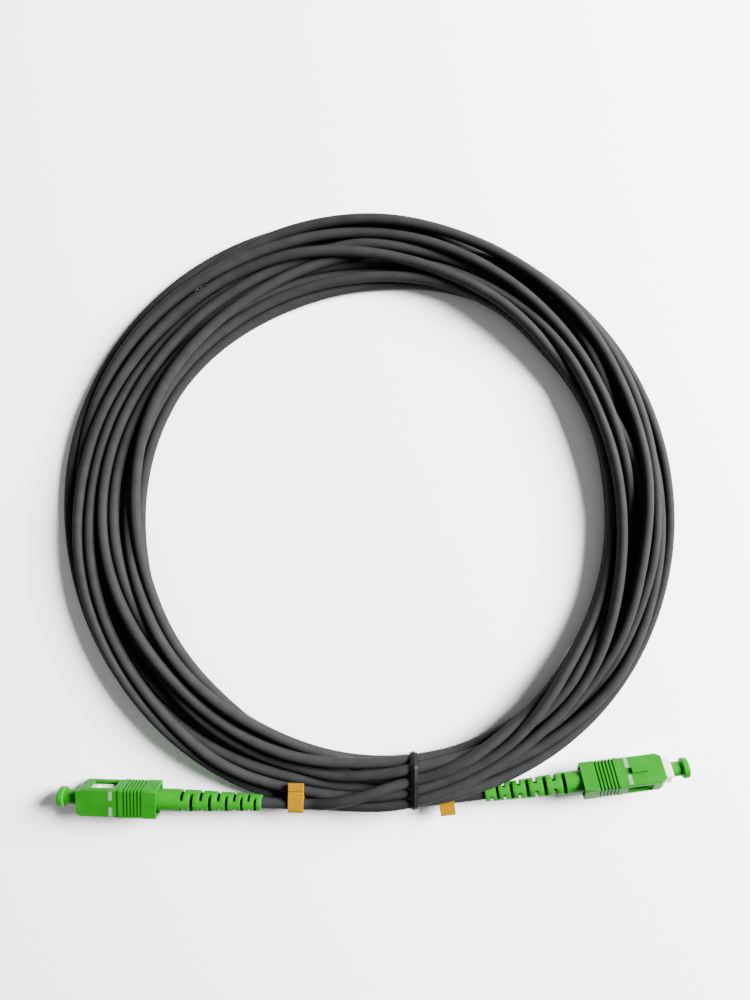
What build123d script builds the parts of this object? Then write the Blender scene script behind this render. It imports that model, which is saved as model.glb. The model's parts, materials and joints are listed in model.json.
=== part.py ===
"""Simplex SC/APC fiber optic patch cord, coiled flat and held by a twist tie.

Frame: millimetres, +Z up, the cord lies on z = 0. +X runs from the left connector to the
right one and +Y from the connectors to the middle of the coil. The origin is on the
surface, midway between the two connectors.

Each connector has its own frame: local X is across its 9 mm face, local Y points to its
key, local Z runs forward out of its tip, and 0 is the front face of its inner housing.
"""
import math
import os

from build123d import *

os.makedirs("parts", exist_ok=True)

# ---- cable and coil -----------------------------------------------------------------
CABLE_D = 3.3
COIL_OUTER_R = 95.4
COIL_INNER_R = 73.1
COIL_OUTER_CENTRE = (-0.5, 86.6)
COIL_INNER_CENTRE = (1.1, 81.7)
COIL_HEIGHT = 7.0
COIL_TOP_ROUND = 2.6
COIL_FOOT_ROUND = 1.2
TAIL_LENGTH = 19.0

# ---- twist tie ----------------------------------------------------------------------
TIE_X = 12.8
TIE_WIDTH = 2.2
TIE_THICKNESS = 0.8
TIE_WIRE_D = 0.45
TIE_TWIST_D = 1.9
TIE_TWIST_LENGTH = 9.0
BUNDLE_LOW_Y = -7.6
BUNDLE_HIGH_Y = 9.0
BUNDLE_FOOT_Z = 2.0
BUNDLE_TOP_Z = 10.4
BUNDLE_ROUND = 2.4
HUMP_FOOT_X = (-24.0, 34.8)
HUMP_TOP_X = (-17.0, 6.8, 18.8)
HUMP_SHOULDER_Z = 9.2

# ---- connector, all places along its axis from the inner housing's front ------------
SHELL_LENGTH = 25.0
SHELL_WIDTH = 9.0
SHELL_DEPTH = 7.4
SHELL_CAVITY = (7.7, 6.2)
GRIP_LENGTH = 11.7
GRIP_WIDTH = 9.3
GRIP_DEPTH = 7.9
GRIP_CAVITY = (7.7, 6.95)
GRIP_CAVITY_LENGTH = 5.0
GROOVE_COUNT = 6
GROOVE_PITCH = 1.07
GROOVE_WIDTH = 0.5
GROOVE_DEPTH = 0.32
GROOVE_START = 4.45
NOSE_CHAMFER = (1.75, 1.05)
KEY_LENGTH = 4.9
KEY_WIDTH = 1.7
KEY_HEIGHT = 0.8
KEY_START = 4.9
WINDOW_LENGTH = 7.6
WINDOW_HEIGHT = 4.6
WINDOW_START = 4.1
MARK_START = 10.3
MARK_WIDTH = 1.1
MARK_LENGTH = 2.9
MARK_GAP = 2.3
MARK_DEPTH = 0.2

FRAME_DEPTH = 6.1
FRAME_NOSE_WIDTH = 6.0
FRAME_TAIL_WIDTH = 7.6
FRAME_NOSE_LENGTH = 14.0
FRAME_LENGTH = 20.5
FRAME_FRONT_BORE_D = 5.0
FRAME_REAR_BORE_D = 5.2
FRAME_SHOULDER = (6.0, 7.0)
RAMP_START = 3.8
RAMP_LENGTH = 2.4
RAMP_HEIGHT = 0.45

FERRULE_D = 2.5
FERRULE_TIP = 0.6
FERRULE_LENGTH = 10.5
APC_ANGLE = 8.0
FLANGE_D = 4.8
FLANGE_FRONT = 7.05
FLANGE_COLLAR = 1.8
FLANGE_TUBE_D = 3.3
FLANGE_LENGTH = 5.6
SPRING_D = 4.6
SPRING_WIRE_D = 0.45
SPRING_TURNS = 6
STOP_FRONT = 16.2
STOP_COLLAR = (20.5, 22.0)
STOP_BARREL_END = 28.0
FIBER_D = 0.9
CRIMP_D = 5.0
CRIMP_WALL = 0.3
CRIMP_END = 31.5
JACKET_START = 28.6

BOOT_FRONT = 23.0
BOOT_TIP = 57.7
BOOT_ROOT_D = 6.6
BOOT_TIP_D = 4.8
BOOT_TAPER_START = 33.0
BOOT_BORE_D = 3.5
BOOT_WEB = 2.3
SLOT_COUNT = 10
SLOT_FIRST = 24.7
SLOT_FIRST_PITCH = 3.05
SLOT_PITCH_STEP = 0.13
SLOT_WIDTHS = (1.15, 0.85)

CAP_STEM_D = 4.4
CAP_FLANGE_D = 6.2
CAP_INSIDE = 5.0
CAP_FLANGE = (4.3, 6.5)
CAP_BORE_D = 2.6
CAP_BORE_END = 5.3

# ---- cable markers ------------------------------------------------------------------
MARKER_D = 5.3
MARKER_LENGTH = 4.8
MARKER_HINGE = 4.35
MARKER_TAB_THICKNESS = 1.3
MARKER_TOP = 2.3
MARKER_TRAVEL = 2.0

# ---- where each connector lies ------------------------------------------------------
RUNNING_GAP = 0.05
CHANNEL_GAP = 0.45


def connector_frame(tip, heading, rise, roll, key_up):
    """The frame of a connector: its front at tip, heading and rise in degrees."""
    h, p, r = (math.radians(a) for a in (heading, rise, roll))
    forward = Vector(math.cos(p) * math.cos(h), math.cos(p) * math.sin(h), math.sin(p))
    side = Vector(0, 0, 1).cross(forward).normalized()
    up = forward.cross(side)
    if not key_up:
        side, up = side * -1, up * -1
    return Plane(origin=tip, x_dir=side * math.cos(r) - up * math.sin(r), z_dir=forward)


ENDS = {
    "left": {
        "frame": connector_frame((-92.1, -4.73, 4.44), 178.9, -1.72, 6.5, key_up=False),
        "shell_front": 0.4,
        "cap_seat": 0.2,
        "boot_turn": 0,
        "marker_at": 10.75,
        "marker_reach": 6.85,
    },
    "right": {
        "frame": connector_frame((92.2, 4.9, 7.45), 8.6, 3.0, 39.0, key_up=True),
        "shell_front": 2.4,
        "cap_seat": 0.9,
        "boot_turn": 108,
        "marker_at": 12.2,
        "marker_reach": 4.5,
    },
}


def finish(piece, name):
    """Label a finished piece and write its STEP file."""
    piece.part.label = name
    export_step(piece.part, f"parts/{name}.step")
    return piece.part


def axial_plane(frame):
    """A plane through a connector's axis: X runs forward along it, Y is the radius."""
    return Plane(origin=frame.origin, x_dir=frame.z_dir, z_dir=frame.x_dir)


def across(frame, forward):
    """The plane across a connector's axis, a distance forward of its inner housing."""
    return frame.offset(forward)


# ---- pieces of a connector ----------------------------------------------------------
def make_outer_housing(side, frame, front):
    """Green grip shell: chamfered nose, latch windows, key bar, ribbed grip."""
    rear = -front - SHELL_LENGTH
    half = SHELL_WIDTH / 2
    with BuildPart(frame) as outer_housing:
        plan = Plane(origin=frame.origin, x_dir=frame.x_dir, z_dir=frame.y_dir * -1)
        with BuildSketch(plan.offset(-SHELL_DEPTH / 2)):
            with BuildLine():
                Polyline(
                    (-half, rear),
                    (-half, -front - NOSE_CHAMFER[0]),
                    (-half + NOSE_CHAMFER[1], -front),
                    (half - NOSE_CHAMFER[1], -front),
                    (half, -front - NOSE_CHAMFER[0]),
                    (half, rear),
                    close=True,
                )
            make_face()
        extrude(amount=SHELL_DEPTH)
        fillet(outer_housing.edges().filter_by(Axis(frame.origin, frame.z_dir)), 0.55)
        with BuildSketch(across(frame, rear)):
            RectangleRounded(GRIP_WIDTH, GRIP_DEPTH, 0.7)
        extrude(amount=GRIP_LENGTH)
        # key bar, with rounded ends and top edges
        with Locations((0, (SHELL_DEPTH + KEY_HEIGHT) / 2, -front - KEY_START - KEY_LENGTH / 2)):
            Box(KEY_WIDTH, KEY_HEIGHT, KEY_LENGTH)
        # grooves between the grip ribs
        for i in range(GROOVE_COUNT):
            with BuildSketch(across(frame, rear + GROOVE_START + i * GROOVE_PITCH)):
                Rectangle(GRIP_WIDTH + 1, GRIP_DEPTH + 1)
                RectangleRounded(
                    GRIP_WIDTH - 2 * GROOVE_DEPTH,
                    GRIP_DEPTH - 2 * GROOVE_DEPTH,
                    0.5,
                    mode=Mode.SUBTRACT,
                )
            extrude(amount=GROOVE_WIDTH, mode=Mode.SUBTRACT)
        # through cavity, wider at the rear for the boot's root
        with BuildSketch(across(frame, rear)):
            RectangleRounded(*SHELL_CAVITY, 0.5)
        extrude(amount=SHELL_LENGTH, mode=Mode.SUBTRACT)
        with BuildSketch(across(frame, rear)):
            RectangleRounded(*GRIP_CAVITY, 0.5)
        extrude(amount=GRIP_CAVITY_LENGTH, mode=Mode.SUBTRACT)
        # latch windows, through both narrow sides
        with Locations((0, 0, -front - WINDOW_START - WINDOW_LENGTH / 2)):
            Box(SHELL_WIDTH + 2, WINDOW_HEIGHT, WINDOW_LENGTH, mode=Mode.SUBTRACT)
        # seats of the white index marks, on both wide faces
        with Locations(*mark_places(front)):
            Box(MARK_LENGTH, MARK_DEPTH, MARK_WIDTH, mode=Mode.SUBTRACT)
    return finish(outer_housing, f"{side}_outer_housing")


def mark_places(front):
    """Centres of the four index marks, in the connector's own frame."""
    u = (MARK_GAP + MARK_LENGTH) / 2
    v = (SHELL_DEPTH - MARK_DEPTH) / 2
    s = -front - MARK_START - MARK_WIDTH / 2
    return [(a * u, b * v, s) for a in (-1, 1) for b in (-1, 1)]


def make_index_marks(side, frame, front):
    """White inlaid marks that show how far the plug is home, two on each wide face."""
    with BuildPart(frame) as index_marks:
        with Locations(*mark_places(front)):
            Box(MARK_LENGTH, MARK_DEPTH, MARK_WIDTH)
    return finish(index_marks, f"{side}_index_marks")


def make_inner_housing(side, frame):
    """White plug frame that holds the ferrule and carries the latch shoulders."""
    with BuildPart(frame) as inner_housing:
        with BuildSketch(across(frame, -FRAME_LENGTH)):
            RectangleRounded(FRAME_TAIL_WIDTH, FRAME_DEPTH, 0.4)
        extrude(amount=FRAME_LENGTH - FRAME_NOSE_LENGTH)
        with BuildSketch(across(frame, -FRAME_NOSE_LENGTH)):
            RectangleRounded(FRAME_NOSE_WIDTH, FRAME_DEPTH, 0.4)
        extrude(amount=FRAME_NOSE_LENGTH)
        chamfer(inner_housing.faces().sort_by(Axis(frame.origin, frame.z_dir))[-1].edges(), 0.3)
        # latch shoulders: a slope that rises to a square rear step, on both narrow sides
        slope = Plane(origin=frame.origin, x_dir=frame.z_dir, z_dir=frame.y_dir)
        for s in (-1, 1):
            foot = s * (FRAME_NOSE_WIDTH / 2 - 0.2)
            crest = s * (FRAME_NOSE_WIDTH / 2 + RAMP_HEIGHT)
            with BuildSketch(slope.offset(-1.6)):
                with BuildLine():
                    Polyline(
                        (-RAMP_START, foot),
                        (-RAMP_START - RAMP_LENGTH, foot),
                        (-RAMP_START - RAMP_LENGTH, crest),
                        (-RAMP_START - RAMP_LENGTH + 0.5, crest),
                        close=True,
                    )
                make_face()
            extrude(amount=3.2)
        # bores: front well, shoulder hole for the ferrule, rear well for the spring
        with BuildSketch(across(frame, -FRAME_SHOULDER[0])):
            Circle(FRAME_FRONT_BORE_D / 2)
        extrude(amount=FRAME_SHOULDER[0], mode=Mode.SUBTRACT)
        with BuildSketch(across(frame, -FRAME_LENGTH)):
            Circle(FERRULE_D / 2 + RUNNING_GAP)
        extrude(amount=FRAME_LENGTH, mode=Mode.SUBTRACT)
        with BuildSketch(across(frame, -FRAME_LENGTH)):
            Circle(FRAME_REAR_BORE_D / 2)
        extrude(amount=FRAME_LENGTH - FRAME_SHOULDER[1], mode=Mode.SUBTRACT)
    return finish(inner_housing, f"{side}_inner_housing")


def make_ferrule(side, frame):
    """Zirconia ferrule with its 8 degree polished tip."""
    tip = across(frame, FERRULE_TIP)
    with BuildPart(frame) as ferrule:
        with BuildSketch(across(frame, FERRULE_TIP - FERRULE_LENGTH)):
            Circle(FERRULE_D / 2)
        extrude(amount=FERRULE_LENGTH)
        chamfer(ferrule.faces().sort_by(Axis(frame.origin, frame.z_dir))[-1].edges(), 0.35)
        polished = Plane(origin=tip.origin, x_dir=tip.x_dir, z_dir=tip.z_dir).rotated((APC_ANGLE, 0, 0))
        split(bisect_by=polished.offset(-0.1), keep=Keep.BOTTOM)
    return finish(ferrule, f"{side}_ferrule")


def make_turned(name, frame, outline):
    """A turned piece: a closed outline of (distance forward, radius) revolved."""
    with BuildPart() as turned_piece:
        with BuildSketch(axial_plane(frame)):
            with BuildLine():
                Polyline(*outline, close=True)
            make_face()
        revolve(axis=Axis(frame.origin, frame.z_dir))
    return finish(turned_piece, name)


def make_ferrule_flange(side, frame):
    """Metal collar and tube pressed on the ferrule's rear; the spring pushes on it."""
    front = -FLANGE_FRONT
    rear = front - FLANGE_LENGTH
    seat = FERRULE_TIP - FERRULE_LENGTH
    outline = [
        (front, FERRULE_D / 2),
        (front, FLANGE_D / 2 - 0.3),
        (front - 0.3, FLANGE_D / 2),
        (front - FLANGE_COLLAR, FLANGE_D / 2),
        (front - FLANGE_COLLAR, FLANGE_TUBE_D / 2),
        (rear, FLANGE_TUBE_D / 2),
        (rear, FIBER_D / 2 + 0.15),
        (seat, FIBER_D / 2 + 0.15),
        (seat, FERRULE_D / 2),
    ]
    return make_turned(f"{side}_ferrule_flange", frame, outline)


def make_spring(side, frame):
    """Coil spring between the ferrule's collar and the stop body."""
    gap = 0.05
    length = STOP_FRONT - FLANGE_FRONT - FLANGE_COLLAR - SPRING_WIRE_D - 2 * gap
    radius = (SPRING_D - SPRING_WIRE_D) / 2
    start = across(frame, -STOP_FRONT + SPRING_WIRE_D / 2 + gap)
    with BuildPart() as spring:
        with BuildLine() as wire:
            Helix(pitch=length / SPRING_TURNS, height=length, radius=radius)
        with BuildSketch(Plane(origin=wire.line @ 0, z_dir=wire.line % 0)):
            Circle(SPRING_WIRE_D / 2)
        sweep(path=wire.line, is_frenet=True)
    spring.part.locate(start.location)
    return finish(spring, f"{side}_spring")


def make_stop_body(side, frame):
    """Metal rear body that closes the inner housing and carries the crimp."""
    bore = FIBER_D / 2 + 0.35
    barrel = CRIMP_D / 2 - CRIMP_WALL - 0.25
    outline = [
        (-STOP_FRONT, bore),
        (-STOP_FRONT, FRAME_REAR_BORE_D / 2),
        (-STOP_COLLAR[0], FRAME_REAR_BORE_D / 2),
        (-STOP_COLLAR[0], 3.0),
        (-STOP_COLLAR[1], 3.0),
        (-STOP_COLLAR[1], barrel),
        (-STOP_BARREL_END, barrel),
        (-STOP_BARREL_END, bore),
    ]
    return make_turned(f"{side}_stop_body", frame, outline)


def make_aramid_yarn(side, frame):
    """Strength yarn folded back over the barrel, under the crimp sleeve."""
    inner = CRIMP_D / 2 - CRIMP_WALL - 0.25
    outer = CRIMP_D / 2 - CRIMP_WALL
    front = -STOP_COLLAR[1] - 0.4
    outline = [(front, inner), (front, outer), (-STOP_BARREL_END, outer), (-STOP_BARREL_END, inner)]
    return make_turned(f"{side}_aramid_yarn", frame, outline)


def make_crimp_sleeve(side, frame):
    """Stepped metal sleeve: wide over the yarn, narrow on the cable's jacket."""
    wide = CRIMP_D / 2
    narrow = CABLE_D / 2 + CRIMP_WALL
    step = -STOP_BARREL_END - 0.3
    outline = [
        (-BOOT_FRONT + 0.5, wide - CRIMP_WALL),
        (-BOOT_FRONT + 0.5, wide),
        (step, wide),
        (step - 0.5, narrow),
        (-CRIMP_END, narrow),
        (-CRIMP_END, CABLE_D / 2),
        (-JACKET_START, CABLE_D / 2),
        (step, wide - CRIMP_WALL),
    ]
    return make_turned(f"{side}_crimp_sleeve", frame, outline)


def make_buffered_fiber(side, frame):
    """Buffered glass fiber from the cable into the ferrule's flange."""
    front = FERRULE_TIP - FERRULE_LENGTH - 1.4
    outline = [(front, 0), (front, FIBER_D / 2), (-JACKET_START, FIBER_D / 2), (-JACKET_START, 0)]
    return make_turned(f"{side}_buffered_fiber", frame, outline)


def make_jacket_end(side, frame):
    """The stripped end of the cable's jacket, inside the crimp sleeve and the boot."""
    with BuildPart() as jacket_end:
        with BuildSketch(across(frame, -BOOT_TIP)):
            Circle(CABLE_D / 2)
        extrude(amount=BOOT_TIP - JACKET_START)
    return finish(jacket_end, f"{side}_jacket_end")


def slot_places():
    """Each boot slot as (distance from the tip, width), from the root to the tip."""
    place, pitch = SLOT_FIRST, SLOT_FIRST_PITCH
    places = []
    for i in range(SLOT_COUNT):
        share = i / (SLOT_COUNT - 1)
        width = SLOT_WIDTHS[0] + share * (SLOT_WIDTHS[1] - SLOT_WIDTHS[0])
        places.append((place, width))
        place -= pitch
        pitch -= SLOT_PITCH_STEP
    return places


def make_boot(side, frame, boot_turn):
    """Soft strain relief: smooth root, then a slotted taper that bends with the cable."""
    crimp_room = CRIMP_D / 2 + RUNNING_GAP
    with BuildPart(frame) as boot:
        with BuildSketch(axial_plane(frame)):
            with BuildLine():
                Polyline(
                    (-BOOT_FRONT, crimp_room),
                    (-BOOT_FRONT, BOOT_ROOT_D / 2 - 0.3),
                    (-BOOT_FRONT - 0.3, BOOT_ROOT_D / 2),
                    (-BOOT_TAPER_START, BOOT_ROOT_D / 2),
                    (-BOOT_TIP, BOOT_TIP_D / 2),
                    (-BOOT_TIP, BOOT_BORE_D / 2),
                    (-CRIMP_END - 0.6, BOOT_BORE_D / 2),
                    (-CRIMP_END - 0.6, crimp_room),
                    close=True,
                )
            make_face()
        revolve(axis=Axis(frame.origin, frame.z_dir))
        tip_rims = boot.edges().filter_by(GeomType.CIRCLE).sort_by(Axis(frame.origin, frame.z_dir))[:2]
        fillet(tip_rims.sort_by(SortBy.LENGTH)[-1], 0.25)
        # slots open on two opposite sides, each pair a quarter turn from the last
        for i, (place, width) in enumerate(slot_places()):
            turn = boot_turn + 90 * (i % 2)
            reach = (BOOT_WEB + BOOT_ROOT_D) / 2
            for opposite in (0, 180):
                a = math.radians(turn + opposite)
                centre = (reach * math.cos(a), reach * math.sin(a), place - BOOT_TIP)
                with Locations(Location(centre, (0, 0, turn))):
                    Box(BOOT_ROOT_D, 2 * BOOT_ROOT_D, width, mode=Mode.SUBTRACT)
    return finish(boot, f"{side}_boot")


def make_dust_cap(side, frame):
    """Green cap that pushes over the ferrule, with a finger flange."""
    with BuildPart() as dust_cap:
        with BuildSketch(axial_plane(frame)):
            with BuildLine():
                Polyline(
                    (-CAP_INSIDE, CAP_BORE_D / 2),
                    (-CAP_INSIDE, CAP_STEM_D / 2 - 0.3),
                    (-CAP_INSIDE + 0.3, CAP_STEM_D / 2),
                    (CAP_FLANGE[0], CAP_STEM_D / 2),
                    (CAP_FLANGE[0], CAP_FLANGE_D / 2),
                    (CAP_FLANGE[1], CAP_FLANGE_D / 2),
                    (CAP_FLANGE[1], 0),
                    (CAP_BORE_END, 0),
                    (CAP_BORE_END, CAP_BORE_D / 2),
                    close=True,
                )
            make_face()
        revolve(axis=Axis(frame.origin, frame.z_dir))
        axis = Axis(frame.origin, frame.z_dir)
        rims = dust_cap.edges().filter_by(GeomType.CIRCLE).sort_by(SortBy.LENGTH)[-2:].sort_by(axis)
        fillet(rims[1], 0.7)
        fillet(rims[0], 0.45)
    return finish(dust_cap, f"{side}_dust_cap")


# ---- pieces on the cable ------------------------------------------------------------
def cable_frame(end):
    """The frame at a boot's tip that looks along the cable, away from the connector."""
    frame = end["frame"]
    tip = frame.offset(-BOOT_TIP)
    return Plane(origin=tip.origin, x_dir=frame.x_dir, z_dir=frame.z_dir * -1)


def marker_plane(end, along):
    """The plane across the cable, turned so that its Y axis points up from the surface."""
    cable = cable_frame(end)
    level = Vector(0, 0, 1).cross(cable.z_dir).normalized()
    return Plane(origin=cable.offset(along).origin, x_dir=level, z_dir=cable.z_dir)


def make_marker(side, end):
    """Yellow clip-on marker: a sleeve round the cable with a flat top that reaches to one side."""
    plane = marker_plane(end, end["marker_at"] - MARKER_LENGTH / 2)
    reach = end["marker_reach"]
    with BuildPart() as cable_marker:
        with BuildSketch(plane):
            Circle(MARKER_D / 2)
            with Locations((0, MARKER_D / 2)):
                Rectangle(MARKER_D, MARKER_D - 2 * MARKER_TOP, mode=Mode.SUBTRACT)
            with Locations((reach / 2, MARKER_TOP - MARKER_TAB_THICKNESS / 2)):
                Rectangle(reach, MARKER_TAB_THICKNESS)
            Circle(CABLE_D / 2 + RUNNING_GAP, mode=Mode.SUBTRACT)
        extrude(amount=MARKER_LENGTH)
        # hinge groove between the sleeve and a long tab
        if reach > MARKER_HINGE + 1:
            with BuildSketch(plane):
                with Locations((MARKER_HINGE, MARKER_TOP)):
                    Rectangle(0.5, 0.5)
            extrude(amount=MARKER_LENGTH, mode=Mode.SUBTRACT)
    return finish(cable_marker, f"{side}_cable_marker")


def make_tail(side, end):
    """The free stretch of cable between a boot and the coil."""
    with BuildPart() as cord_tail:
        with BuildSketch(cable_frame(end)):
            Circle(CABLE_D / 2)
        extrude(amount=TAIL_LENGTH)
    return finish(cord_tail, f"cord_tail_{side}")


def make_coil():
    """The wound cable as one solid of its outer shape, squeezed together at the tie."""
    hump_mid = (BUNDLE_LOW_Y + BUNDLE_HIGH_Y) / 2
    hump_width = BUNDLE_HIGH_Y - BUNDLE_LOW_Y
    with BuildPart() as cord_coil:
        with BuildSketch():
            with Locations(COIL_OUTER_CENTRE):
                Circle(COIL_OUTER_R)
            with Locations(COIL_INNER_CENTRE):
                Circle(COIL_INNER_R, mode=Mode.SUBTRACT)
        extrude(amount=COIL_HEIGHT)
        rims = cord_coil.edges().filter_by(GeomType.CIRCLE).group_by(Axis.Z)
        fillet(rims[-1], COIL_TOP_ROUND)
        fillet(cord_coil.edges().filter_by(GeomType.CIRCLE).group_by(Axis.Z)[0], COIL_FOOT_ROUND)
        # the left tail climbs onto the coil, and the tie draws the strands up three high
        with BuildSketch(Plane.XZ.offset(-hump_mid - hump_width / 2 + 1.0)):
            with BuildLine():
                Polyline(
                    (HUMP_FOOT_X[0], COIL_HEIGHT / 2),
                    (HUMP_FOOT_X[0], COIL_HEIGHT - COIL_TOP_ROUND / 2),
                    (HUMP_TOP_X[0], HUMP_SHOULDER_Z),
                    (HUMP_TOP_X[1], BUNDLE_TOP_Z),
                    (HUMP_TOP_X[2], BUNDLE_TOP_Z),
                    (HUMP_FOOT_X[1], COIL_HEIGHT - COIL_TOP_ROUND / 2),
                    (HUMP_FOOT_X[1], COIL_HEIGHT / 2),
                    close=True,
                )
            make_face()
        extrude(amount=hump_width - 2.0)
        # neck inside the tie
        with BuildSketch(Plane.YZ.offset(TIE_X - TIE_WIDTH / 2)):
            Rectangle(60, 60)
            with Locations((hump_mid, (BUNDLE_FOOT_Z + BUNDLE_TOP_Z) / 2)):
                RectangleRounded(hump_width, BUNDLE_TOP_Z - BUNDLE_FOOT_Z, BUNDLE_ROUND, mode=Mode.SUBTRACT)
        extrude(amount=TIE_WIDTH, mode=Mode.SUBTRACT)
        # room for the tie's twisted ends, under the bundle
        with Locations((TIE_X + TIE_TWIST_LENGTH / 2, hump_mid, BUNDLE_FOOT_Z / 2)):
            Box(TIE_TWIST_LENGTH + 2, TIE_TWIST_D + 1.2, BUNDLE_FOOT_Z, mode=Mode.SUBTRACT)
        # channels along the outer edge for the two tails, their markers and the boots
        for end in ENDS.values():
            cable = cable_frame(end)
            wide_end = end["marker_at"] + MARKER_LENGTH / 2 + MARKER_TRAVEL + CHANNEL_GAP
            with BuildSketch(cable.offset(-30)):
                Circle(MARKER_D / 2 + CHANNEL_GAP)
            extrude(amount=30 + wide_end, mode=Mode.SUBTRACT)
            with BuildSketch(cable):
                Circle(CABLE_D / 2)
            extrude(amount=TAIL_LENGTH, mode=Mode.SUBTRACT)
            tab_length = MARKER_LENGTH + 2 * (MARKER_TRAVEL + CHANNEL_GAP)
            with BuildSketch(marker_plane(end, end["marker_at"] - tab_length / 2)):
                Rectangle(2 * (end["marker_reach"] + CHANNEL_GAP), MARKER_D + 2 * CHANNEL_GAP)
            extrude(amount=tab_length, mode=Mode.SUBTRACT)
    return finish(cord_coil, "cord_coil")


def tie_section(plane_x, grow):
    """The tie's loop, as a rounded rectangle round the bundle, grown outward."""
    height = BUNDLE_TOP_Z - BUNDLE_FOOT_Z
    width = BUNDLE_HIGH_Y - BUNDLE_LOW_Y
    with BuildSketch(Plane.YZ.offset(plane_x), mode=Mode.PRIVATE) as loop:
        with Locations(((BUNDLE_LOW_Y + BUNDLE_HIGH_Y) / 2, (BUNDLE_FOOT_Z + BUNDLE_TOP_Z) / 2)):
            RectangleRounded(width + 2 * grow, height + 2 * grow, BUNDLE_ROUND + grow)
    return loop.sketch


def make_tie():
    """Black twist tie: a flat plastic strip round the bundle with a wire in its middle."""
    start = TIE_X - TIE_WIDTH / 2
    wire_low = TIE_X - TIE_WIRE_D / 2
    wire_in = (TIE_THICKNESS - TIE_WIRE_D) / 2
    with BuildPart() as twist_tie_sleeve:
        extrude(tie_section(start, TIE_THICKNESS), amount=TIE_WIDTH)
        extrude(tie_section(start, 0), amount=TIE_WIDTH, mode=Mode.SUBTRACT)
        with BuildSketch(Plane.YZ.offset(TIE_X)):
            with Locations(((BUNDLE_LOW_Y + BUNDLE_HIGH_Y) / 2, BUNDLE_FOOT_Z - TIE_TWIST_D / 2 - 0.05)):
                Circle(TIE_TWIST_D / 2)
        extrude(amount=TIE_TWIST_LENGTH)
        extrude(tie_section(wire_low, wire_in + TIE_WIRE_D), amount=TIE_WIRE_D, mode=Mode.SUBTRACT)
        extrude(tie_section(start, wire_in), amount=TIE_WIDTH)
        extrude(tie_section(start, 0), amount=TIE_WIDTH, mode=Mode.SUBTRACT)
    finish(twist_tie_sleeve, "twist_tie_sleeve")
    with BuildPart() as twist_tie_wire:
        extrude(tie_section(wire_low, wire_in + TIE_WIRE_D), amount=TIE_WIRE_D)
        extrude(tie_section(wire_low, wire_in), amount=TIE_WIRE_D, mode=Mode.SUBTRACT)
    finish(twist_tie_wire, "twist_tie_wire")


def make_connector(side, end):
    """Every piece of one connector, in its own frame."""
    frame, front = end["frame"], end["shell_front"]
    pieces = [
        make_outer_housing(side, frame, front),
        make_index_marks(side, frame, front),
        make_inner_housing(side, frame),
        make_ferrule(side, frame),
        make_ferrule_flange(side, frame),
        make_spring(side, frame),
        make_stop_body(side, frame),
        make_aramid_yarn(side, frame),
        make_crimp_sleeve(side, frame),
        make_buffered_fiber(side, frame),
        make_jacket_end(side, frame),
        make_boot(side, frame, end["boot_turn"]),
        make_dust_cap(side, frame.offset(-end["cap_seat"])),
    ]
    return pieces


connector_pieces = []
for end_name, end_facts in ENDS.items():
    connector_pieces += make_connector(end_name, end_facts)
    make_marker(end_name, end_facts)
    make_tail(end_name, end_facts)
make_coil()
make_tie()

box = Compound(children=connector_pieces).bounding_box()
print(f"connectors: x {box.min.X:.2f} to {box.max.X:.2f}, y {box.min.Y:.2f} to {box.max.Y:.2f},"
      f" z {box.min.Z:.2f} to {box.max.Z:.2f}")
for end_name, end_facts in ENDS.items():
    tail = cable_frame(end_facts)
    print(f"{end_name} tail: straight, {TAIL_LENGTH} mm from {tuple(round(c, 2) for c in tail.origin)}"
          f" along {tuple(round(c, 3) for c in tail.z_dir)}")
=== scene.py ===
"""Fiber optic patch cord, coiled flat and held by a twist tie: the visual model and its studio."""
import json
import math

import bmesh
import bpy
import numpy as np
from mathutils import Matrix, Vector


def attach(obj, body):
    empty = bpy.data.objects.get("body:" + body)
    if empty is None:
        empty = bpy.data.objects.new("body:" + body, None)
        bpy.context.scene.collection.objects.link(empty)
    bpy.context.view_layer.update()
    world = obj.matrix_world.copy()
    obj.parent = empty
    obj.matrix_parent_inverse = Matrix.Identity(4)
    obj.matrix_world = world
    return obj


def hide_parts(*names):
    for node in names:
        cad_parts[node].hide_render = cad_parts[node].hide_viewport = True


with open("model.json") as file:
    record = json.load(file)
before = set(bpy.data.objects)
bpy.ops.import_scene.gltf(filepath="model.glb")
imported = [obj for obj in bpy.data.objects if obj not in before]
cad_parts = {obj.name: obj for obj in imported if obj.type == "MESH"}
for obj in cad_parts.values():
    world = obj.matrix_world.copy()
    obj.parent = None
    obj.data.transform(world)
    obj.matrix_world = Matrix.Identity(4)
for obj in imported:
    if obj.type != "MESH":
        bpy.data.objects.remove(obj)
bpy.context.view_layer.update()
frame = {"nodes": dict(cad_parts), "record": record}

MM = 0.001
SIDES = ("left", "right")

# ---- the cable ------------------------------------------------------------------------
# Lengths are in millimetres until the meshes are made. The coil is described by angle and
# radius about its middle, turn by turn from the left connector to the right one.
CABLE_D = 3.3
COIL_CENTRE = (0.3, 83.5)
TIE_ANGLE = -81.4
STEPS_PER_TURN = 60
EYE_HEIGHT = 240.0          # radii are given as they look from this height, at the level below
EYE_LEVEL = 3.0
LAYER = 0.87 * CABLE_D      # rise from one layer of strands to the next
TIE_LIFT = 2.0              # the strands clear the surface by this much inside the tie
LIFT_SPREAD = (12.0, 7.0)   # degrees over which they come down again, after the tie and before it
TIE_REACH = 3.5             # degrees each side of the tie in which the bundle is held together
BUNDLE_Y = (-8.2, 8.7)      # edges of the bundle inside the tie
BUNDLE_TOP = 11.6

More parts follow.
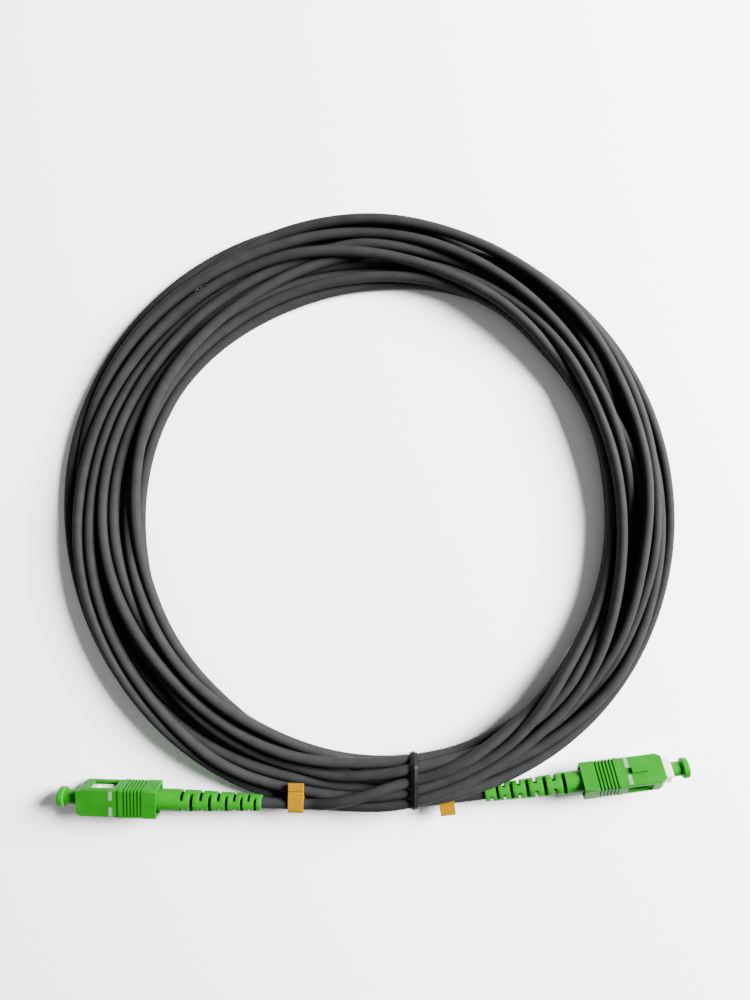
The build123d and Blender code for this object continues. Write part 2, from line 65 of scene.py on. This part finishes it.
# the left tail onto the coil and the right tail off it, from and to the boots' tips
TAIL_IN = ((-34.44, -5.84, 6.17), (-29.39, -5.93, 6.32), (-24.35, -6.03, 6.47), (-18.95, -6.13, 6.64))
TAIL_OUT = ((19.3, -6.13, 3.59), (24.9, -5.28, 3.89), (30.1, -4.50, 4.16), (35.23, -3.72, 4.43))
TAIL_IN_END = -102          # the cable is on the left tail up to this angle
TAIL_OUT_START = 3.9        # and on the right one from this angle after its last pass of the tie
ONTO_COIL = ((-95.0, 88.6, 8.0), (-90.0, 86.7, 9.0), (-85.0, 85.2, 9.6))    # angle, radius, height

# the two markers on the tails, and the left one's tab, which lies over the strands beside it
MARKER_X = (-23.7, 23.2)
MARKER_R = 2.8
MARKER_REACH = 6.5          # the strands keep clear of a marker this far each side of its middle
TAB_ANGLE = -105.4
TAB_INNER_R = 80.0
UNDER_TAB = (3, 5.2)        # within this angle of the tab, a strand's middle is no higher than this
BESIDE_TAB = (8, 6.3)
TAB_SKIP = 3                # the first points after the left tail rise past the tab

# each turn: its radius, and its layer above the lowest one, at these angles from the tie on
ANGLES = (-81.4, -50, -10, 30, 70, 110, 150, 190, 230, 255)
TURNS = (
    ((84, 78.9, 75.3, 76.2, 77.3, 74.6, 75.8, 77.5, 77, 76.6), (2.6, 1.2, 0, 0, 0.9, 0.3, 1.2, 1, 1, 1)),
    ((78.5, 81, 85.4, 83, 83, 82.8, 85.7, 85.3, 81.7, 79.2), (0, 0, 0, 0, 0, 1.2, 1, 1.5, 1.5, 1.6)),
    ((78.3, 81, 88.6, 80, 76.6, 71.3, 73.4, 73.5, 75.4, 76.8), (1, 0.6, 0, 0.6, 0, 0, 0, 0, 0, 0)),
    ((81.5, 83, 82.2, 85.3, 89.2, 93.4, 96.6, 94.9, 93.4, 89), (1, 0.2, 0, 0, 0, 0, 0, 0, 0, 0.2)),
    ((91.3, 93.2, 93.9, 93.1, 90.8, 88, 86.8, 85.4, 83.8, 84.8), (1.1, 1, 0, 0, 0, 0, 0, 0, 0, 0)),
    ((88, 88.3, 88, 90.7, 88, 85.5, 86.6, 90.6, 91.7, 90.3), (0, 0, 0.4, 1, 0.6, 0, 0.5, 0.7, 1, 1)),
    ((87.8, 82.1, 77.3, 77, 79.9, 87.3, 90.7, 94.4, 94.3, 93), (2, 1.5, 0.9, 1, 1.4, 1.2, 1, 1, 1, 0)),
    ((90.5, 85.5, 79.2, 78.5, 83.2, 80.4, 79.2, 80.8, 85, 82.6), (2.1, 2, 1.9, 1.9, 1.1, 0, 0, 0, 1, 1.5)),
    ((80.3, 82, 79.6, 79.3, 79.7, 78.2, 81.8, 83, 80.5, 79.8), (2, 0.5, 0.5, 0, 0, 0.1, 0.9, 0.9, 0.4, 0.3)),
    ((80.8, 81.5, 79.3, 81.8, 86.6, 92, 95, 92.2, 90, 86.8), (0, 0, 0, 1, 1.2, 1.2, 1, 0.2, 0, 0.7)),
    ((87, 90, 90.9, 88.9, 85, 80.1, 78.6, 75.1, 75.2, 77.5), (1, 0.4, 0.8, 0, 0, 1, 1.6, 1, 0.8, 0.3)),
    ((84, 85.8, 85.9, 89.3, 92.7, 94, 92, 88.8, 86.8, 89.4), (0, 0, 1, 1.2, 1.4, 1.2, 0, 0, 0, 0)),
)
LAST_PASS = (91.3, 0.0)     # radius and layer where the cable passes the tie for the last time

# the coil's inner and outer edge, at these angles
EDGE_ANGLES = (-90, -80, -70, -50, -38, -15, 10, 30, 45, 58, 72, 90,
               112, 130, 147, 162, 180, 205, 240, 257, 270)
INNER_EDGE = (75.8, 76.4, 77.2, 77.2, 75.3, 73.3, 73.1, 74.0, 73.8, 75.4, 74.1, 71.2,
              69.5, 70.6, 71.8, 71.4, 72.0, 72.8, 73.6, 75.0, 75.8)
OUTER_EDGE = (93.6, 93.4, 93.6, 95.0, 95.9, 95.8, 95.0, 94.5, 93.8, 93.5, 94.4, 96.0,
              95.8, 97.2, 98.1, 98.7, 97.7, 96.6, 95.8, 94.6, 93.2)

# how the turns are laid on one another
ROUNDS = 600
EARLY = 0.35                # share of the rounds before the turns begin to sink
PUSHES = 6                  # times in a round that the turns are pushed clear of one another
STRAND_SPACE = 1.02         # room for a strand, over its own diameter


def ease(x, xs, ys):
    """A smooth curve through the points (xs, ys), read at x."""
    slope = np.gradient(ys, xs)
    k = np.clip(np.searchsorted(xs, x, side="right") - 1, 0, len(xs) - 2)
    h = xs[k + 1] - xs[k]
    t = (x - xs[k]) / h
    return ((1 + 2 * t) * (1 - t) ** 2 * ys[k] + t * (1 - t) ** 2 * h * slope[k]
            + t * t * (3 - 2 * t) * ys[k + 1] + t * t * (t - 1) * h * slope[k + 1])


def perspective(z):
    """True radius over the radius it seems to have from the eye's height."""
    return (EYE_HEIGHT - z) / (EYE_HEIGHT - EYE_LEVEL)


def polar(point):
    """Angle, radius and height of a point about the coil's middle."""
    x, y = point[0] - COIL_CENTRE[0], point[1] - COIL_CENTRE[1]
    return math.degrees(math.atan2(y, x)), math.hypot(x, y), point[2]


def on_tail(angle, tail):
    """Radius and height where the straight tail crosses the ray at this angle."""
    a = math.radians(angle)
    (x0, y0, z0), (x1, y1, z1) = tail[0], tail[-1]
    dx, dy = x1 - x0, y1 - y0
    x0, y0 = COIL_CENTRE[0] - x0, COIL_CENTRE[1] - y0
    det = dx * -math.sin(a) + dy * math.cos(a)
    share = (x0 * -math.sin(a) + y0 * math.cos(a)) / det
    radius = (dx * y0 - dy * x0) / det
    return radius, z0 + share * (z1 - z0)


def wind():
    """Lay the turns on and beside one another and return the cable's control points.

    The turns start where TURNS says. In each round they are drawn back to those places and
    settle a little, bend as a stiff cable does, and are pushed out of one another.
    """
    step = 360 / STEPS_PER_TURN
    end = 360 * len(TURNS) + TIE_ANGLE
    route = [(a, r / perspective(z), z) for a, r, z in map(polar, TAIL_IN)] + list(ONTO_COIL)
    for turn, (radii, layers) in enumerate(TURNS):
        route += [(360 * turn + a, r, CABLE_D / 2 + LAYER * k) for a, r, k in zip(ANGLES, radii, layers)]
    route.append((end, LAST_PASS[0], CABLE_D / 2 + LAYER * LAST_PASS[1]))
    route += [(360 * len(TURNS) + a, r / perspective(z), z) for a, r, z in map(polar, TAIL_OUT)]
    places, radii, heights = (np.array(c) for c in zip(*route))
    first = math.ceil((places[0] - TIE_ANGLE) / step)
    last = STEPS_PER_TURN * len(TURNS) + math.floor((places[-1] - end) / step)
    number = np.arange(first, last + 1)
    angle = TIE_ANGLE + step * number
    seen, level = ease(angle, places, radii), ease(angle, places, heights)
    z = level.copy()
    r = seen * perspective(z)

    # the straight tails stay where they are, and take more room at their markers
    width = np.full(len(number), STRAND_SPACE * CABLE_D / 2)
    fixed = np.zeros(len(number), bool)
    for k, a in enumerate(angle):
        tail = TAIL_IN if a <= TAIL_IN_END else TAIL_OUT if a >= end + TAIL_OUT_START else None
        if tail:
            fixed[k] = True
            r[k], z[k] = on_tail(a, tail)
            x = COIL_CENTRE[0] + r[k] * math.cos(math.radians(a))
            if min(abs(x - marker) for marker in MARKER_X) < MARKER_REACH:
                width[k] = MARKER_R
    held_r, held_z = r[fixed], z[fixed]
    free = ~fixed

    # the limits: the surface and the tie's lift, the tie itself, the coil's edges and the tab
    away = (angle - TIE_ANGLE + 180) % 360 - 180
    floor = CABLE_D / 2 + TIE_LIFT * np.exp(-(away / np.where(away > 0, *LIFT_SPREAD)) ** 2)
    in_tie = np.abs(away) < TIE_REACH
    middle = COIL_CENTRE[1]
    tie_r = (middle - BUNDLE_Y[1] + CABLE_D / 2, middle - BUNDLE_Y[0] - CABLE_D / 2)
    turned = (angle + 90) % 360 - 90
    inner, outer = (np.interp(turned, EDGE_ANGLES, edge) for edge in (INNER_EDGE, OUTER_EDGE))
    from_tab = np.abs((angle - TAB_ANGLE + 180) % 360 - 180)
    tab_top = np.where(from_tab < BESIDE_TAB[0], BESIDE_TAB[1], np.inf)
    tab_top = np.where(from_tab < UNDER_TAB[0], UNDER_TAB[1], tab_top)
    tab_top[:np.argmax(free) + TAB_SKIP] = np.inf

    # which points share an angle, and how much each of a pair gives way
    column = number % STEPS_PER_TURN
    most = len(TURNS) + 2
    table = np.full((STEPS_PER_TURN, most), -1)
    for c in range(STEPS_PER_TURN):
        members = np.nonzero(column == c)[0]
        table[c, :len(members)] = members
    real = table >= 0
    pair = real[:, :, None] & real[:, None, :] & ~np.eye(most, dtype=bool)
    room = width[table][:, :, None] + width[table][:, None, :]
    stuck = fixed[table]
    share = np.where(stuck[:, :, None], 0, np.where(stuck[:, None, :], 1.0, 0.5)) * pair

    for i in range(ROUNDS):
        early = i < EARLY * ROUNDS
        r += (0.10 * (1 - i / ROUNDS) + 0.02) * (seen * perspective(z) - r)
        z += (0.08 if early else 0.02) * (level - z) - (0 if early else 0.012)
        for _ in range(2):
            for v in (r, z):
                stiff, soft = v.copy(), v.copy()
                stiff[2:-2] = (4 * (v[1:-3] + v[3:-1]) - (v[:-4] + v[4:])) / 6
                soft[1:-1] = (v[:-2] + v[2:]) / 2
                v += 0.5 * (stiff - v) + 0.03 * (soft - v)
        r[fixed], z[fixed] = held_r, held_z
        for _ in range(PUSHES):
            dr = r[table][:, :, None] - r[table][:, None, :]
            dz = z[table][:, :, None] - z[table][:, None, :]
            gap = np.maximum(np.hypot(dr, dz), 1e-6)
            push = 0.7 * share * np.maximum(room - gap, 0) / gap
            r[table[real]] += (push * dr).sum(axis=2)[real]
            z[table[real]] += (push * dz).sum(axis=2)[real]
            z = np.maximum(z, floor)
            nearest, farthest = inner * perspective(z) + CABLE_D / 2, outer * perspective(z) - CABLE_D / 2
            r[free] = np.clip(r, nearest, farthest)[free]
            r[in_tie] = np.clip(r[in_tie], *tie_r)
            z[in_tie] = np.minimum(z[in_tie], BUNDLE_TOP - CABLE_D / 2)
            z = np.where(r > TAB_INNER_R, np.minimum(z, tab_top), z)
            r[fixed], z[fixed] = held_r, held_z

    a = np.radians(angle[free])
    x, y = COIL_CENTRE[0] + r[free] * np.cos(a), COIL_CENTRE[1] + r[free] * np.sin(a)
    coil = np.column_stack([x, y, z[free]])
    return [tuple(p) for p in TAIL_IN] + [tuple(p) for p in coil] + [tuple(p) for p in TAIL_OUT]


def link(data, name):
    """A new object in the scene."""
    obj = bpy.data.objects.new(name, data)
    bpy.context.scene.collection.objects.link(obj)
    return obj


def make_cable(points):
    """The whole cable as one smooth tube."""
    curve = bpy.data.curves.new("cable", "CURVE")
    curve.dimensions = "3D"
    curve.twist_mode = "Z_UP"
    curve.resolution_u = 6
    spline = curve.splines.new("NURBS")
    spline.points.add(len(points) - 1)
    for point, place in zip(spline.points, points):
        point.co = (*(c * MM for c in place), 1)
        point.radius = CABLE_D / 2 * MM
    spline.order_u = 3
    spline.use_endpoint_u = True
    curve.bevel_depth = 1
    curve.bevel_resolution = 6
    curve.use_fill_caps = True
    return link(curve, "cable")


def centre_line(cable):
    """Points along the cable's own spline, in millimetres."""
    bare = cable.copy()
    bare.data = cable.data.copy()
    bare.data.bevel_depth = 0
    mesh = bpy.data.meshes.new_from_object(bare)
    line = [v.co / MM for v in mesh.vertices]
    bpy.data.meshes.remove(mesh)
    bpy.data.objects.remove(bare)
    return line


cable = make_cable(wind())
cable_line = centre_line(cable)
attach(cable, "cord")
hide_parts("cord_coil", "cord_tail_left", "cord_tail_right")


# ---- pieces -----------------------------------------------------------------------------
def loft(rings, closed):
    """Faces between rings of as many points each, joined end to end or closed with caps."""
    vertices = [tuple(c * MM for c in p) for ring in rings for p in ring]
    count, n = len(rings[0]), len(rings)
    faces = []
    for i in range(n if closed else n - 1):
        a, b = i * count, (i + 1) % n * count
        faces += [(a + j, a + (j + 1) % count, b + (j + 1) % count, b + j) for j in range(count)]
    if not closed:
        faces += [tuple(range(count))[::-1], tuple(range((n - 1) * count, n * count))]
    return vertices, faces


TIE_X = 12.8
TIE_RING = 120              # points round the bundle
TIE_GAP = 0.03              # between the strands and the strip
TIE_DIRECTIONS = 720        # directions in which the bundle's outline is felt for
# half of the strip's section: across its width, and out from the cable; it is thick over its wire
TIE_SECTION = ((1.02, 0.03), (1.12, 0.16), (1.12, 0.36), (1.02, 0.47),
               (0.55, 0.50), (0.36, 0.62), (0.18, 0.77), (0.0, 0.82))
# its two ends, twisted together along the surface under the bundle
TWIST_START = -0.6
TWIST_LENGTH = 8.2
TWIST_HALF = (0.80, 0.42)
TWIST_END = (0.97, 0.8)     # past this share of the length, the section is this much smaller
TWIST_TURNS = 2.5
TWIST_Z = 0.86
TWIST_STEPS = 64
TWIST_SIDES = 16


def strands_at(x):
    """Where the cable passes this X beside the tie, as (Y, Z)."""
    found = []
    for a, b in zip(cable_line, cable_line[1:]):
        if (a.x - x) * (b.x - x) <= 0 and a.x != b.x and a.y < COIL_CENTRE[1]:
            p = a.lerp(b, (x - a.x) / (b.x - a.x))
            found.append((p.y, p.z))
    return found


def tie_path(x):
    """Points and outward directions round the bundle, drawn tight over its outer strands."""
    strands = strands_at(x)
    path = []
    for i in range(TIE_DIRECTIONS):
        a = 2 * math.pi * i / TIE_DIRECTIONS
        out = (math.cos(a), math.sin(a))
        y, z = max(strands, key=lambda p: p[0] * out[0] + p[1] * out[1])
        path.append((y + (CABLE_D / 2 + TIE_GAP) * out[0], z + (CABLE_D / 2 + TIE_GAP) * out[1]))
    lengths = [0]
    for a, b in zip(path, path[1:] + path[:1]):
        lengths.append(lengths[-1] + math.dist(a, b))
    closed = path + path[:1]
    places = np.linspace(0, lengths[-1], TIE_RING, endpoint=False)
    ys, zs = (np.interp(places, lengths, [p[k] for p in closed]) for k in (0, 1))
    ty, tz = np.roll(ys, -2) - np.roll(ys, 2), np.roll(zs, -2) - np.roll(zs, 2)
    size = np.hypot(ty, tz)
    return [((y, z), (v / s, -u / s)) for y, z, u, v, s in zip(ys, zs, ty, tz, size)]


def make_tie():
    """The twist tie: its strip round the bundle, and its two ends twisted together beneath."""
    section = list(TIE_SECTION) + [(-w, t) for w, t in TIE_SECTION[-2::-1]]
    path = tie_path(TIE_X)
    rings = [[(TIE_X + w, y + t * out_y, z + t * out_z) for w, t in section] for (y, z), (out_y, out_z) in path]
    vertices, faces = loft(rings, closed=True)
    middle = min(path, key=lambda step: step[0][1])[0][0]
    twist = []
    for i in range(TWIST_STEPS + 1):
        share = i / TWIST_STEPS
        turn = 2 * math.pi * TWIST_TURNS * share
        half_w, half_t = (h * (1 if share < TWIST_END[0] else TWIST_END[1]) for h in TWIST_HALF)
        ring = []
        for j in range(TWIST_SIDES):
            b = 2 * math.pi * j / TWIST_SIDES
            u = math.copysign(abs(math.cos(b)) ** 0.5, math.cos(b)) * half_w
            v = math.copysign(abs(math.sin(b)) ** 0.5, math.sin(b)) * half_t
            ring.append((TIE_X + TWIST_START + TWIST_LENGTH * share,
                         middle + u * math.cos(turn) - v * math.sin(turn),
                         TWIST_Z + u * math.sin(turn) + v * math.cos(turn)))
        twist.append(ring)
    more, more_faces = loft(twist, closed=False)
    faces += [tuple(k + len(vertices) for k in face) for face in more_faces]
    mesh = bpy.data.meshes.new("twist_tie")
    mesh.from_pydata(vertices + more, [], faces)
    mesh.validate()
    mesh.shade_smooth()
    tie = link(mesh, "twist_tie")
    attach(tie, "cord")
    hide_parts("twist_tie_sleeve", "twist_tie_wire")
    return tie


# how far the edges of each kind of moulded piece are rounded off
SOFT_NODES = {"outer_housing": 0.14, "inner_housing": 0.12, "boot": 0.10, "cable_marker": 0.12}
SOFT_FROM = math.radians(38)    # edges sharper than this are rounded off
FLAT_WITHIN = math.radians(0.5)


def soften(node, body, edge):
    """A CAD node's shape with its sharp edges rounded off, as moulded plastic has them."""
    bm = bmesh.new()
    bm.from_mesh(frame["nodes"][node].data)
    bmesh.ops.remove_doubles(bm, verts=bm.verts, dist=1e-6)
    bmesh.ops.dissolve_limit(bm, angle_limit=FLAT_WITHIN, verts=bm.verts, edges=bm.edges)
    mesh = bpy.data.meshes.new(f"{node}_form")
    bm.to_mesh(mesh)
    bm.free()
    mesh.materials.clear()
    piece = link(mesh, f"{node}_form")
    bevel = piece.modifiers.new("soft edges", "BEVEL")
    bevel.width = edge * MM
    bevel.segments = 2
    bevel.limit_method = "ANGLE"
    bevel.angle_limit = SOFT_FROM
    bevel.use_clamp_overlap = True
    flatten = piece.modifiers.new("flat faces stay flat", "WEIGHTED_NORMAL")
    flatten.keep_sharp = True
    mesh.shade_smooth()
    final = bpy.data.meshes.new_from_object(piece.evaluated_get(bpy.context.evaluated_depsgraph_get()))
    piece.modifiers.clear()
    piece.data = final
    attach(piece, body)
    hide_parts(node)
    return piece


twist_tie = make_tie()
body_of_node = {node: body for body, nodes in frame["record"]["behaviour"]["bodies"].items() for node in nodes}
slot_of_node = {part["node"]: part["material_slot"] for part in frame["record"]["subparts"]}
soft_pieces = {}
for side in SIDES:
    for kind, edge in SOFT_NODES.items():
        name = f"{side}_{kind}"
        soft_pieces[name] = soften(name, body_of_node[name], edge)

# ---- camera, floor and light ------------------------------------------------------------
camera_data = bpy.data.cameras.new("camera")
camera_data.lens = 27
camera_data.sensor_width = 36
camera_data.clip_start = 0.01
camera = link(camera_data, "camera")
camera.location = (0.0008, 0.0885, 0.240)
bpy.context.scene.camera = camera

FLOOR_HALF = 1.5
floor_mesh = bpy.data.meshes.new("floor")
corners = [(x * FLOOR_HALF, y * FLOOR_HALF, 0) for x, y in ((-1, -1), (1, -1), (1, 1), (-1, 1))]
floor_mesh.from_pydata(corners, [], [(0, 1, 2, 3)])
studio_floor = link(floor_mesh, "studio_floor")

KEY_LIGHT = Vector((0.86, 0.42, 0.52))
KEY_LIGHT_TARGET = Vector((0, 0.085, 0))
key_data = bpy.data.lights.new("key_light", "AREA")
key_data.size = 0.5
key_data.energy = 130
key_light = link(key_data, "key_light")
key_light.location = KEY_LIGHT
key_light.rotation_euler = (KEY_LIGHT_TARGET - KEY_LIGHT).to_track_quat("-Z", "Y").to_euler()

world = bpy.data.worlds.new("studio")
bpy.context.scene.world = world
world.use_nodes = True
world.node_tree.nodes["Background"].inputs["Color"].default_value = (1, 1, 1, 1)
world.node_tree.nodes["Background"].inputs["Strength"].default_value = 0.30


# ---- materials --------------------------------------------------------------------------
MOTTLE = 220                # patches of colour, per metre
ROUGHNESS_SPREAD = 0.08


def new_material(name):
    """A material with its shader, and the objects' own coordinates to draw on it with."""
    material = bpy.data.materials.new(name)
    material.use_nodes = True
    nodes = material.node_tree.nodes
    return material, nodes, material.node_tree.links, nodes["Principled BSDF"], nodes.new("ShaderNodeTexCoord")


def noise(nodes, links, coordinates, scale):
    """A noise texture at this scale, per metre."""
    texture = nodes.new("ShaderNodeTexNoise")
    texture.inputs["Scale"].default_value = scale
    texture.inputs["Detail"].default_value = 3.0
    links.new(coordinates.outputs["Object"], texture.inputs["Vector"])
    return texture


def plastic(name, dark, light, roughness, grain=2600, bump=0.02, specular=0.25):
    """Moulded plastic: a slow change of colour, and a fine grain in its gloss and its surface."""
    material, nodes, links, shader, coordinates = new_material(name)
    ramp = nodes.new("ShaderNodeValToRGB")
    ramp.color_ramp.elements[0].position, ramp.color_ramp.elements[1].position = 0.3, 0.7
    ramp.color_ramp.elements[0].color, ramp.color_ramp.elements[1].color = (*dark, 1), (*light, 1)
    links.new(noise(nodes, links, coordinates, MOTTLE).outputs["Fac"], ramp.inputs["Fac"])
    links.new(ramp.outputs["Color"], shader.inputs["Base Color"])
    fine = noise(nodes, links, coordinates, grain)
    spread = nodes.new("ShaderNodeMapRange")
    spread.inputs["To Min"].default_value = roughness - ROUGHNESS_SPREAD
    spread.inputs["To Max"].default_value = roughness + ROUGHNESS_SPREAD
    links.new(fine.outputs["Fac"], spread.inputs["Value"])
    links.new(spread.outputs["Result"], shader.inputs["Roughness"])
    relief = nodes.new("ShaderNodeBump")
    relief.inputs["Strength"].default_value = 0.5
    relief.inputs["Distance"].default_value = bump * MM
    links.new(fine.outputs["Fac"], relief.inputs["Height"])
    links.new(relief.outputs["Normal"], shader.inputs["Normal"])
    shader.inputs["Specular IOR Level"].default_value = specular
    return material


def metal(name, dark, light, roughness):
    """Bare metal with a fine grain."""
    material = plastic(name, dark, light, roughness, specular=0.5)
    material.node_tree.nodes["Principled BSDF"].inputs["Metallic"].default_value = 1
    return material


MATERIALS = {
    "green_shell": plastic("green_shell", (0.0060, 0.098, 0.0040), (0.0078, 0.116, 0.0052), 0.50, specular=0.05),
    "mark_white": plastic("mark_white", (0.10, 0.17, 0.10), (0.13, 0.21, 0.13), 0.5, specular=0.05),
    "frame_white": plastic("frame_white", (0.50, 0.51, 0.49), (0.57, 0.58, 0.56), 0.45),
    "ceramic_white": plastic("ceramic_white", (0.70, 0.70, 0.66), (0.76, 0.76, 0.72), 0.15, specular=0.5),
    "bright_steel": metal("bright_steel", (0.5, 0.5, 0.5), (0.6, 0.6, 0.6), 0.25),
    "spring_steel": metal("spring_steel", (0.4, 0.4, 0.4), (0.5, 0.5, 0.5), 0.3),
    "nickel_brass": metal("nickel_brass", (0.5, 0.48, 0.42), (0.6, 0.57, 0.5), 0.3),
    "aramid_yellow": plastic("aramid_yellow", (0.5, 0.38, 0.08), (0.6, 0.45, 0.1), 0.7, grain=9000, bump=0.1),
    "crimp_metal": metal("crimp_metal", (0.5, 0.5, 0.5), (0.6, 0.6, 0.6), 0.35),
    "buffer_white": plastic("buffer_white", (0.6, 0.6, 0.6), (0.7, 0.7, 0.7), 0.4),
    "cable_jacket": plastic("cable_jacket", (0.0125, 0.0128, 0.0134), (0.0165, 0.0169, 0.0177), 0.6,
                            bump=0.03, specular=0.03),
    "green_boot": plastic("green_boot", (0.0052, 0.118, 0.0024), (0.0066, 0.138, 0.0034), 0.5, specular=0.08),
    "green_cap": plastic("green_cap", (0.0032, 0.120, 0.0014), (0.0044, 0.140, 0.0020), 0.45, specular=0.08),
    "marker_yellow": plastic("marker_yellow", (0.180, 0.086, 0.0001), (0.21, 0.100, 0.0002), 0.45, specular=0.03),
    "tie_black": plastic("tie_black", (0.0038, 0.0038, 0.0042), (0.0055, 0.0055, 0.0060), 0.45, specular=0.05),
}
for part in frame["record"]["subparts"]:
    node = frame["nodes"][part["node"]]
    node.data.materials.clear()
    node.data.materials.append(MATERIALS[part["material_slot"]])
cable.data.materials.append(MATERIALS["cable_jacket"])
twist_tie.data.materials.append(MATERIALS["tie_black"])
for name, piece in soft_pieces.items():
    piece.data.materials.append(MATERIALS[slot_of_node[name]])

floor_material = bpy.data.materials.new("studio_white")
floor_material.use_nodes = True
floor_material.node_tree.nodes["Principled BSDF"].inputs["Base Color"].default_value = (0.96, 0.96, 0.96, 1)
floor_material.node_tree.nodes["Principled BSDF"].inputs["Roughness"].default_value = 0.9
studio_floor.data.materials.append(floor_material)

# the right connector, both markers and the tie are pieces on the cord, which leaves the left boot
CAD_PIECES = ("index_marks", "ferrule", "ferrule_flange", "spring", "stop_body", "aramid_yarn",
              "crimp_sleeve", "buffered_fiber", "jacket_end", "dust_cap")
on_cable = [f"right_{k}" for k in CAD_PIECES]
on_cable += [soft_pieces[f"right_{k}"] for k in SOFT_NODES] + [soft_pieces["left_cable_marker"], twist_tie]
